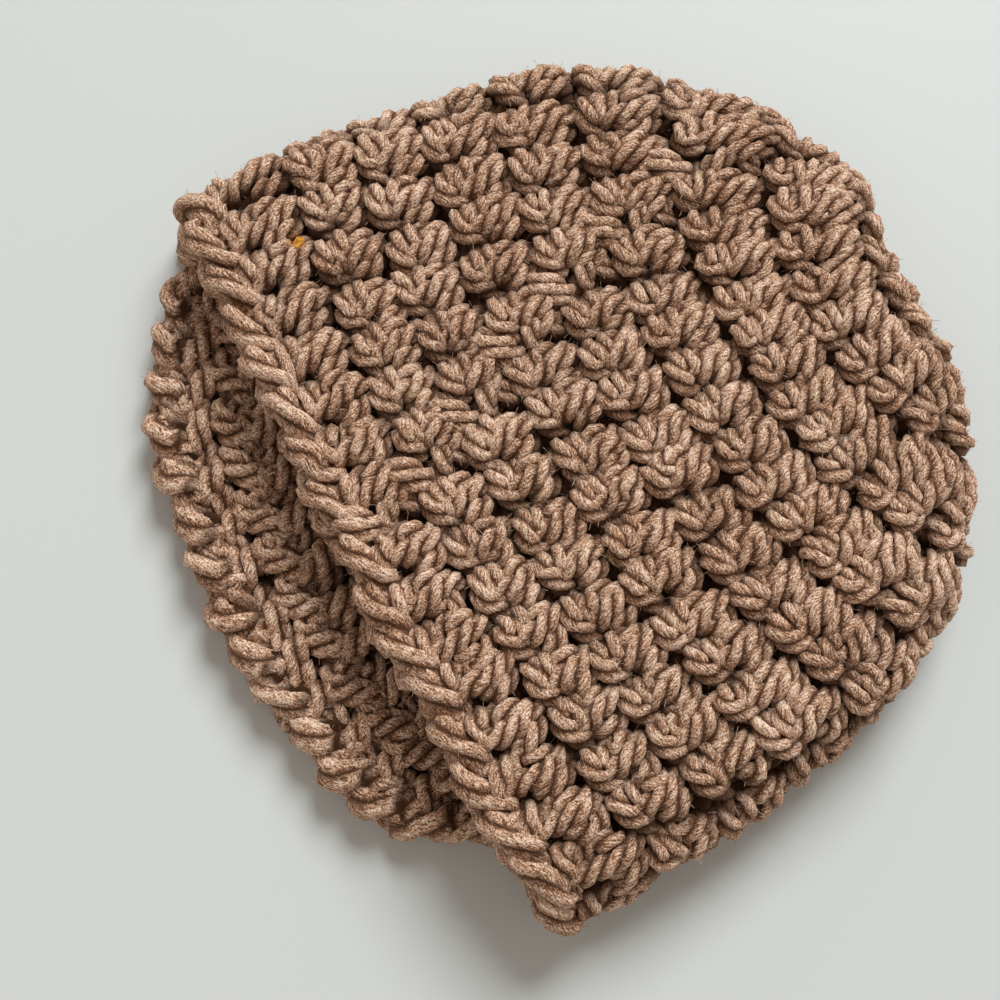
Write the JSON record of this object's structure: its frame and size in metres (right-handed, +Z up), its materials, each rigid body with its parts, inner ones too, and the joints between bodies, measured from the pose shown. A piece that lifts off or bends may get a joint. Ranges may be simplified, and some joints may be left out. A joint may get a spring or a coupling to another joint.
{
  "type": "crocheted baby hat",
  "caption": "Round-crowned crocheted hat for a baby in thick plied yarn, lying flattened with the back of its rim showing beyond the front.",
  "frame": {"origin": "on the surface that the hat lies on, under the middle of its outline", "axes": "+Z up, +Y from the mouth to the crown, +X along the mouth"},
  "size_m": [0.1758, 0.1667, 0.0283],
  "materials": {
    "yarn": "soft, matte, slightly fuzzy plied yarn"
  },
  "bodies": {
    "root": {"crochet_shell": "yarn"}
  },
  "joints": []
}
